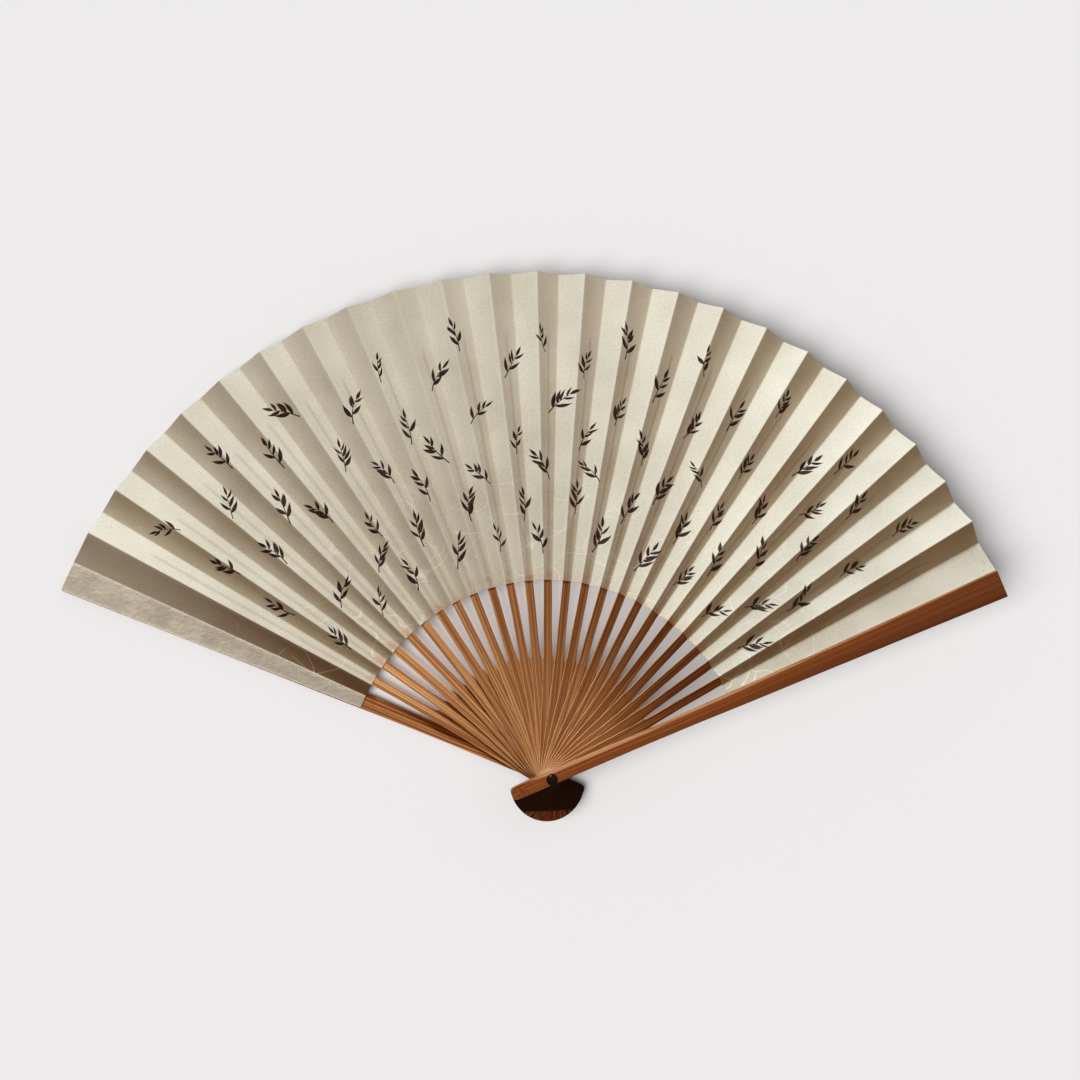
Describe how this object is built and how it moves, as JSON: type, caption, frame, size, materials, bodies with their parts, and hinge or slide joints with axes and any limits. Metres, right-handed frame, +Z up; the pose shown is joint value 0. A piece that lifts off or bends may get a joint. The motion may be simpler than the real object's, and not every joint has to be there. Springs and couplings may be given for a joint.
{
  "type": "folding fan",
  "caption": "Bamboo folding fan laid open, with split ribs and two guard sticks turning on one pin and a pleated paper leaf that folds between them.",
  "frame": {"origin": "on the pivot pin's axis, at the flat underside of the pin, which is the plane that the back guard lies on", "axes": "+Z up along the pin, towards the front guard; +Y out along the middle of the open leaf; +X towards the front guard's side"},
  "size_m": [0.3918, 0.2274, 0.0231],
  "materials": {
    "bamboo_guard": "smoked bamboo, satin",
    "bamboo_rib": "split bamboo, fine fibres, heads stained dark",
    "leaf_paper": "fibrous handmade paper, matt",
    "guard_paper": "fibrous handmade paper, matt, greyer",
    "pin_horn": "polished dark horn-like plastic"
  },
  "bodies": {
    "back_guard": {"back_guard": "bamboo_guard", "pivot_pin": "pin_horn", "leaf_end_back": "guard_paper"},
    "front_guard": {"front_guard": "bamboo_guard", "leaf_end_front": "guard_paper"},
    "rib_01": {"rib_01": "bamboo_rib"},
    "rib_02": {"rib_02": "bamboo_rib"},
    "rib_03": {"rib_03": "bamboo_rib"},
    "rib_04": {"rib_04": "bamboo_rib"},
    "rib_05": {"rib_05": "bamboo_rib"},
    "rib_06": {"rib_06": "bamboo_rib"},
    "rib_07": {"rib_07": "bamboo_rib"},
    "rib_08": {"rib_08": "bamboo_rib"},
    "rib_09": {"rib_09": "bamboo_rib"},
    "rib_10": {"rib_10": "bamboo_rib"},
    "rib_11": {"rib_11": "bamboo_rib"},
    "rib_12": {"rib_12": "bamboo_rib"},
    "rib_13": {"rib_13": "bamboo_rib"},
    "rib_14": {"rib_14": "bamboo_rib"},
    "rib_15": {"rib_15": "bamboo_rib"},
    "rib_16": {"rib_16": "bamboo_rib"},
    "rib_17": {"rib_17": "bamboo_rib"},
    "rib_18": {"rib_18": "bamboo_rib"},
    "rib_19": {"rib_19": "bamboo_rib"},
    "rib_20": {"rib_20": "bamboo_rib"},
    "rib_21": {"rib_21": "bamboo_rib"},
    "rib_22": {"rib_22": "bamboo_rib"},
    "rib_23": {"rib_23": "bamboo_rib"},
    "leaf_fold_01": {"leaf_fold_01": "leaf_paper"},
    "leaf_fold_02": {"leaf_fold_02": "leaf_paper"},
    "leaf_fold_03": {"leaf_fold_03": "leaf_paper"},
    "leaf_fold_04": {"leaf_fold_04": "leaf_paper"},
    "leaf_fold_05": {"leaf_fold_05": "leaf_paper"},
    "leaf_fold_06": {"leaf_fold_06": "leaf_paper"},
    "leaf_fold_07": {"leaf_fold_07": "leaf_paper"},
    "leaf_fold_08": {"leaf_fold_08": "leaf_paper"},
    "leaf_fold_09": {"leaf_fold_09": "leaf_paper"},
    "leaf_fold_10": {"leaf_fold_10": "leaf_paper"},
    "leaf_fold_11": {"leaf_fold_11": "leaf_paper"},
    "leaf_fold_12": {"leaf_fold_12": "leaf_paper"},
    "leaf_fold_13": {"leaf_fold_13": "leaf_paper"},
    "leaf_fold_14": {"leaf_fold_14": "leaf_paper"},
    "leaf_fold_15": {"leaf_fold_15": "leaf_paper"},
    "leaf_fold_16": {"leaf_fold_16": "leaf_paper"},
    "leaf_fold_17": {"leaf_fold_17": "leaf_paper"},
    "leaf_fold_18": {"leaf_fold_18": "leaf_paper"},
    "leaf_fold_19": {"leaf_fold_19": "leaf_paper"},
    "leaf_fold_20": {"leaf_fold_20": "leaf_paper"},
    "leaf_fold_21": {"leaf_fold_21": "leaf_paper"},
    "leaf_fold_22": {"leaf_fold_22": "leaf_paper"},
    "leaf_fold_23": {"leaf_fold_23": "leaf_paper"},
    "leaf_fold_24": {"leaf_fold_24": "leaf_paper"}
  },
  "joints": [
    {"name": "fan_fold", "type": "hinge", "parent": "back_guard", "child": "front_guard", "pos_m": [0, 0, 0], "axis": [0, 0, 1], "range_deg": [0, 134.42]},
    {"name": "rib_01_turn", "type": "hinge", "parent": "back_guard", "child": "rib_01", "pos_m": [0, 0, 0], "axis": [0, 0, 1], "range_deg": [0, 6.6]},
    {"name": "rib_02_turn", "type": "hinge", "parent": "back_guard", "child": "rib_02", "pos_m": [0, 0, 0], "axis": [0, 0, 1], "range_deg": [0, 12.11]},
    {"name": "rib_03_turn", "type": "hinge", "parent": "back_guard", "child": "rib_03", "pos_m": [0, 0, 0], "axis": [0, 0, 1], "range_deg": [0, 17.62]},
    {"name": "rib_04_turn", "type": "hinge", "parent": "back_guard", "child": "rib_04", "pos_m": [0, 0, 0], "axis": [0, 0, 1], "range_deg": [0, 23.13]},
    {"name": "rib_05_turn", "type": "hinge", "parent": "back_guard", "child": "rib_05", "pos_m": [0, 0, 0], "axis": [0, 0, 1], "range_deg": [0, 28.64]},
    {"name": "rib_06_turn", "type": "hinge", "parent": "back_guard", "child": "rib_06", "pos_m": [0, 0, 0], "axis": [0, 0, 1], "range_deg": [0, 34.15]},
    {"name": "rib_07_turn", "type": "hinge", "parent": "back_guard", "child": "rib_07", "pos_m": [0, 0, 0], "axis": [0, 0, 1], "range_deg": [0, 39.66]},
    {"name": "rib_08_turn", "type": "hinge", "parent": "back_guard", "child": "rib_08", "pos_m": [0, 0, 0], "axis": [0, 0, 1], "range_deg": [0, 45.17]},
    {"name": "rib_09_turn", "type": "hinge", "parent": "back_guard", "child": "rib_09", "pos_m": [0, 0, 0], "axis": [0, 0, 1], "range_deg": [0, 50.68]},
    {"name": "rib_10_turn", "type": "hinge", "parent": "back_guard", "child": "rib_10", "pos_m": [0, 0, 0], "axis": [0, 0, 1], "range_deg": [0, 56.19]},
    {"name": "rib_11_turn", "type": "hinge", "parent": "back_guard", "child": "rib_11", "pos_m": [0, 0, 0], "axis": [0, 0, 1], "range_deg": [0, 61.7]},
    {"name": "rib_12_turn", "type": "hinge", "parent": "back_guard", "child": "rib_12", "pos_m": [0, 0, 0], "axis": [0, 0, 1], "range_deg": [0, 67.21]},
    {"name": "rib_13_turn", "type": "hinge", "parent": "back_guard", "child": "rib_13", "pos_m": [0, 0, 0], "axis": [0, 0, 1], "range_deg": [0, 72.72]},
    {"name": "rib_14_turn", "type": "hinge", "parent": "back_guard", "child": "rib_14", "pos_m": [0, 0, 0], "axis": [0, 0, 1], "range_deg": [0, 78.23]},
    {"name": "rib_15_turn", "type": "hinge", "parent": "back_guard", "child": "rib_15", "pos_m": [0, 0, 0], "axis": [0, 0, 1], "range_deg": [0, 83.74]},
    {"name": "rib_16_turn", "type": "hinge", "parent": "back_guard", "child": "rib_16", "pos_m": [0, 0, 0], "axis": [0, 0, 1], "range_deg": [0, 89.25]},
    {"name": "rib_17_turn", "type": "hinge", "parent": "back_guard", "child": "rib_17", "pos_m": [0, 0, 0], "axis": [0, 0, 1], "range_deg": [0, 94.76]},
    {"name": "rib_18_turn", "type": "hinge", "parent": "back_guard", "child": "rib_18", "pos_m": [0, 0, 0], "axis": [0, 0, 1], "range_deg": [0, 100.27]},
    {"name": "rib_19_turn", "type": "hinge", "parent": "back_guard", "child": "rib_19", "pos_m": [0, 0, 0], "axis": [0, 0, 1], "range_deg": [0, 105.78]},
    {"name": "rib_20_turn", "type": "hinge", "parent": "back_guard", "child": "rib_20", "pos_m": [0, 0, 0], "axis": [0, 0, 1], "range_deg": [0, 111.29]},
    {"name": "rib_21_turn", "type": "hinge", "parent": "back_guard", "child": "rib_21", "pos_m": [0, 0, 0], "axis": [0, 0, 1], "range_deg": [0, 116.8]},
    {"name": "rib_22_turn", "type": "hinge", "parent": "back_guard", "child": "rib_22", "pos_m": [0, 0, 0], "axis": [0, 0, 1], "range_deg": [0, 122.31]},
    {"name": "rib_23_turn", "type": "hinge", "parent": "back_guard", "child": "rib_23", "pos_m": [0, 0, 0], "axis": [0, 0, 1], "range_deg": [0, 127.82]},
    {"name": "fold_01_turn", "type": "hinge", "parent": "back_guard", "child": "leaf_fold_01", "pos_m": [0, 0, 0], "axis": [0, 0, 1], "range_deg": [0, 3.3], "deforming": ["leaf_fold_01"]},
    {"name": "fold_02_turn", "type": "hinge", "parent": "back_guard", "child": "leaf_fold_02", "pos_m": [0, 0, 0], "axis": [0, 0, 1], "range_deg": [0, 9.36], "deforming": ["leaf_fold_02"]},
    {"name": "fold_03_turn", "type": "hinge", "parent": "back_guard", "child": "leaf_fold_03", "pos_m": [0, 0, 0], "axis": [0, 0, 1], "range_deg": [0, 14.87], "deforming": ["leaf_fold_03"]},
    {"name": "fold_04_turn", "type": "hinge", "parent": "back_guard", "child": "leaf_fold_04", "pos_m": [0, 0, 0], "axis": [0, 0, 1], "range_deg": [0, 20.38], "deforming": ["leaf_fold_04"]},
    {"name": "fold_05_turn", "type": "hinge", "parent": "back_guard", "child": "leaf_fold_05", "pos_m": [0, 0, 0], "axis": [0, 0, 1], "range_deg": [0, 25.89], "deforming": ["leaf_fold_05"]},
    {"name": "fold_06_turn", "type": "hinge", "parent": "back_guard", "child": "leaf_fold_06", "pos_m": [0, 0, 0], "axis": [0, 0, 1], "range_deg": [0, 31.4], "deforming": ["leaf_fold_06"]},
    {"name": "fold_07_turn", "type": "hinge", "parent": "back_guard", "child": "leaf_fold_07", "pos_m": [0, 0, 0], "axis": [0, 0, 1], "range_deg": [0, 36.91], "deforming": ["leaf_fold_07"]},
    {"name": "fold_08_turn", "type": "hinge", "parent": "back_guard", "child": "leaf_fold_08", "pos_m": [0, 0, 0], "axis": [0, 0, 1], "range_deg": [0, 42.42], "deforming": ["leaf_fold_08"]},
    {"name": "fold_09_turn", "type": "hinge", "parent": "back_guard", "child": "leaf_fold_09", "pos_m": [0, 0, 0], "axis": [0, 0, 1], "range_deg": [0, 47.93], "deforming": ["leaf_fold_09"]},
    {"name": "fold_10_turn", "type": "hinge", "parent": "back_guard", "child": "leaf_fold_10", "pos_m": [0, 0, 0], "axis": [0, 0, 1], "range_deg": [0, 53.44], "deforming": ["leaf_fold_10"]},
    {"name": "fold_11_turn", "type": "hinge", "parent": "back_guard", "child": "leaf_fold_11", "pos_m": [0, 0, 0], "axis": [0, 0, 1], "range_deg": [0, 58.95], "deforming": ["leaf_fold_11"]},
    {"name": "fold_12_turn", "type": "hinge", "parent": "back_guard", "child": "leaf_fold_12", "pos_m": [0, 0, 0], "axis": [0, 0, 1], "range_deg": [0, 64.46], "deforming": ["leaf_fold_12"]},
    {"name": "fold_13_turn", "type": "hinge", "parent": "back_guard", "child": "leaf_fold_13", "pos_m": [0, 0, 0], "axis": [0, 0, 1], "range_deg": [0, 69.97], "deforming": ["leaf_fold_13"]},
    {"name": "fold_14_turn", "type": "hinge", "parent": "back_guard", "child": "leaf_fold_14", "pos_m": [0, 0, 0], "axis": [0, 0, 1], "range_deg": [0, 75.48], "deforming": ["leaf_fold_14"]},
    {"name": "fold_15_turn", "type": "hinge", "parent": "back_guard", "child": "leaf_fold_15", "pos_m": [0, 0, 0], "axis": [0, 0, 1], "range_deg": [0, 80.99], "deforming": ["leaf_fold_15"]},
    {"name": "fold_16_turn", "type": "hinge", "parent": "back_guard", "child": "leaf_fold_16", "pos_m": [0, 0, 0], "axis": [0, 0, 1], "range_deg": [0, 86.5], "deforming": ["leaf_fold_16"]},
    {"name": "fold_17_turn", "type": "hinge", "parent": "back_guard", "child": "leaf_fold_17", "pos_m": [0, 0, 0], "axis": [0, 0, 1], "range_deg": [0, 92.01], "deforming": ["leaf_fold_17"]},
    {"name": "fold_18_turn", "type": "hinge", "parent": "back_guard", "child": "leaf_fold_18", "pos_m": [0, 0, 0], "axis": [0, 0, 1], "range_deg": [0, 97.52], "deforming": ["leaf_fold_18"]},
    {"name": "fold_19_turn", "type": "hinge", "parent": "back_guard", "child": "leaf_fold_19", "pos_m": [0, 0, 0], "axis": [0, 0, 1], "range_deg": [0, 103.03], "deforming": ["leaf_fold_19"]},
    {"name": "fold_20_turn", "type": "hinge", "parent": "back_guard", "child": "leaf_fold_20", "pos_m": [0, 0, 0], "axis": [0, 0, 1], "range_deg": [0, 108.54], "deforming": ["leaf_fold_20"]},
    {"name": "fold_21_turn", "type": "hinge", "parent": "back_guard", "child": "leaf_fold_21", "pos_m": [0, 0, 0], "axis": [0, 0, 1], "range_deg": [0, 114.05], "deforming": ["leaf_fold_21"]},
    {"name": "fold_22_turn", "type": "hinge", "parent": "back_guard", "child": "leaf_fold_22", "pos_m": [0, 0, 0], "axis": [0, 0, 1], "range_deg": [0, 119.56], "deforming": ["leaf_fold_22"]},
    {"name": "fold_23_turn", "type": "hinge", "parent": "back_guard", "child": "leaf_fold_23", "pos_m": [0, 0, 0], "axis": [0, 0, 1], "range_deg": [0, 125.07], "deforming": ["leaf_fold_23"]},
    {"name": "fold_24_turn", "type": "hinge", "parent": "back_guard", "child": "leaf_fold_24", "pos_m": [0, 0, 0], "axis": [0, 0, 1], "range_deg": [0, 131.12], "deforming": ["leaf_fold_24"]}
  ],
  "couplings": [
    {"joint": "rib_01_turn", "follows": "fan_fold", "ratio": 0.0491},
    {"joint": "rib_02_turn", "follows": "fan_fold", "ratio": 0.090091},
    {"joint": "rib_03_turn", "follows": "fan_fold", "ratio": 0.13108},
    {"joint": "rib_04_turn", "follows": "fan_fold", "ratio": 0.17207},
    {"joint": "rib_05_turn", "follows": "fan_fold", "ratio": 0.21306},
    {"joint": "rib_06_turn", "follows": "fan_fold", "ratio": 0.25405},
    {"joint": "rib_07_turn", "follows": "fan_fold", "ratio": 0.29505},
    {"joint": "rib_08_turn", "follows": "fan_fold", "ratio": 0.33604},
    {"joint": "rib_09_turn", "follows": "fan_fold", "ratio": 0.37703},
    {"joint": "rib_10_turn", "follows": "fan_fold", "ratio": 0.41802},
    {"joint": "rib_11_turn", "follows": "fan_fold", "ratio": 0.45901},
    {"joint": "rib_12_turn", "follows": "fan_fold", "ratio": 0.5},
    {"joint": "rib_13_turn", "follows": "fan_fold", "ratio": 0.54099},
    {"joint": "rib_14_turn", "follows": "fan_fold", "ratio": 0.58198},
    {"joint": "rib_15_turn", "follows": "fan_fold", "ratio": 0.62297},
    {"joint": "rib_16_turn", "follows": "fan_fold", "ratio": 0.66396},
    {"joint": "rib_17_turn", "follows": "fan_fold", "ratio": 0.70495},
    {"joint": "rib_18_turn", "follows": "fan_fold", "ratio": 0.74595},
    {"joint": "rib_19_turn", "follows": "fan_fold", "ratio": 0.78694},
    {"joint": "rib_20_turn", "follows": "fan_fold", "ratio": 0.82793},
    {"joint": "rib_21_turn", "follows": "fan_fold", "ratio": 0.86892},
    {"joint": "rib_22_turn", "follows": "fan_fold", "ratio": 0.90991},
    {"joint": "rib_23_turn", "follows": "fan_fold", "ratio": 0.9509},
    {"joint": "fold_01_turn", "follows": "fan_fold", "ratio": 0.02455},
    {"joint": "fold_02_turn", "follows": "fan_fold", "ratio": 0.069595},
    {"joint": "fold_03_turn", "follows": "fan_fold", "ratio": 0.11059},
    {"joint": "fold_04_turn", "follows": "fan_fold", "ratio": 0.15158},
    {"joint": "fold_05_turn", "follows": "fan_fold", "ratio": 0.19257},
    {"joint": "fold_06_turn", "follows": "fan_fold", "ratio": 0.23356},
    {"joint": "fold_07_turn", "follows": "fan_fold", "ratio": 0.27455},
    {"joint": "fold_08_turn", "follows": "fan_fold", "ratio": 0.31554},
    {"joint": "fold_09_turn", "follows": "fan_fold", "ratio": 0.35653},
    {"joint": "fold_10_turn", "follows": "fan_fold", "ratio": 0.39752},
    {"joint": "fold_11_turn", "follows": "fan_fold", "ratio": 0.43851},
    {"joint": "fold_12_turn", "follows": "fan_fold", "ratio": 0.47951},
    {"joint": "fold_13_turn", "follows": "fan_fold", "ratio": 0.5205},
    {"joint": "fold_14_turn", "follows": "fan_fold", "ratio": 0.56149},
    {"joint": "fold_15_turn", "follows": "fan_fold", "ratio": 0.60248},
    {"joint": "fold_16_turn", "follows": "fan_fold", "ratio": 0.64347},
    {"joint": "fold_17_turn", "follows": "fan_fold", "ratio": 0.68446},
    {"joint": "fold_18_turn", "follows": "fan_fold", "ratio": 0.72545},
    {"joint": "fold_19_turn", "follows": "fan_fold", "ratio": 0.76644},
    {"joint": "fold_20_turn", "follows": "fan_fold", "ratio": 0.80743},
    {"joint": "fold_21_turn", "follows": "fan_fold", "ratio": 0.84842},
    {"joint": "fold_22_turn", "follows": "fan_fold", "ratio": 0.88941},
    {"joint": "fold_23_turn", "follows": "fan_fold", "ratio": 0.93041},
    {"joint": "fold_24_turn", "follows": "fan_fold", "ratio": 0.97545}
  ]
}
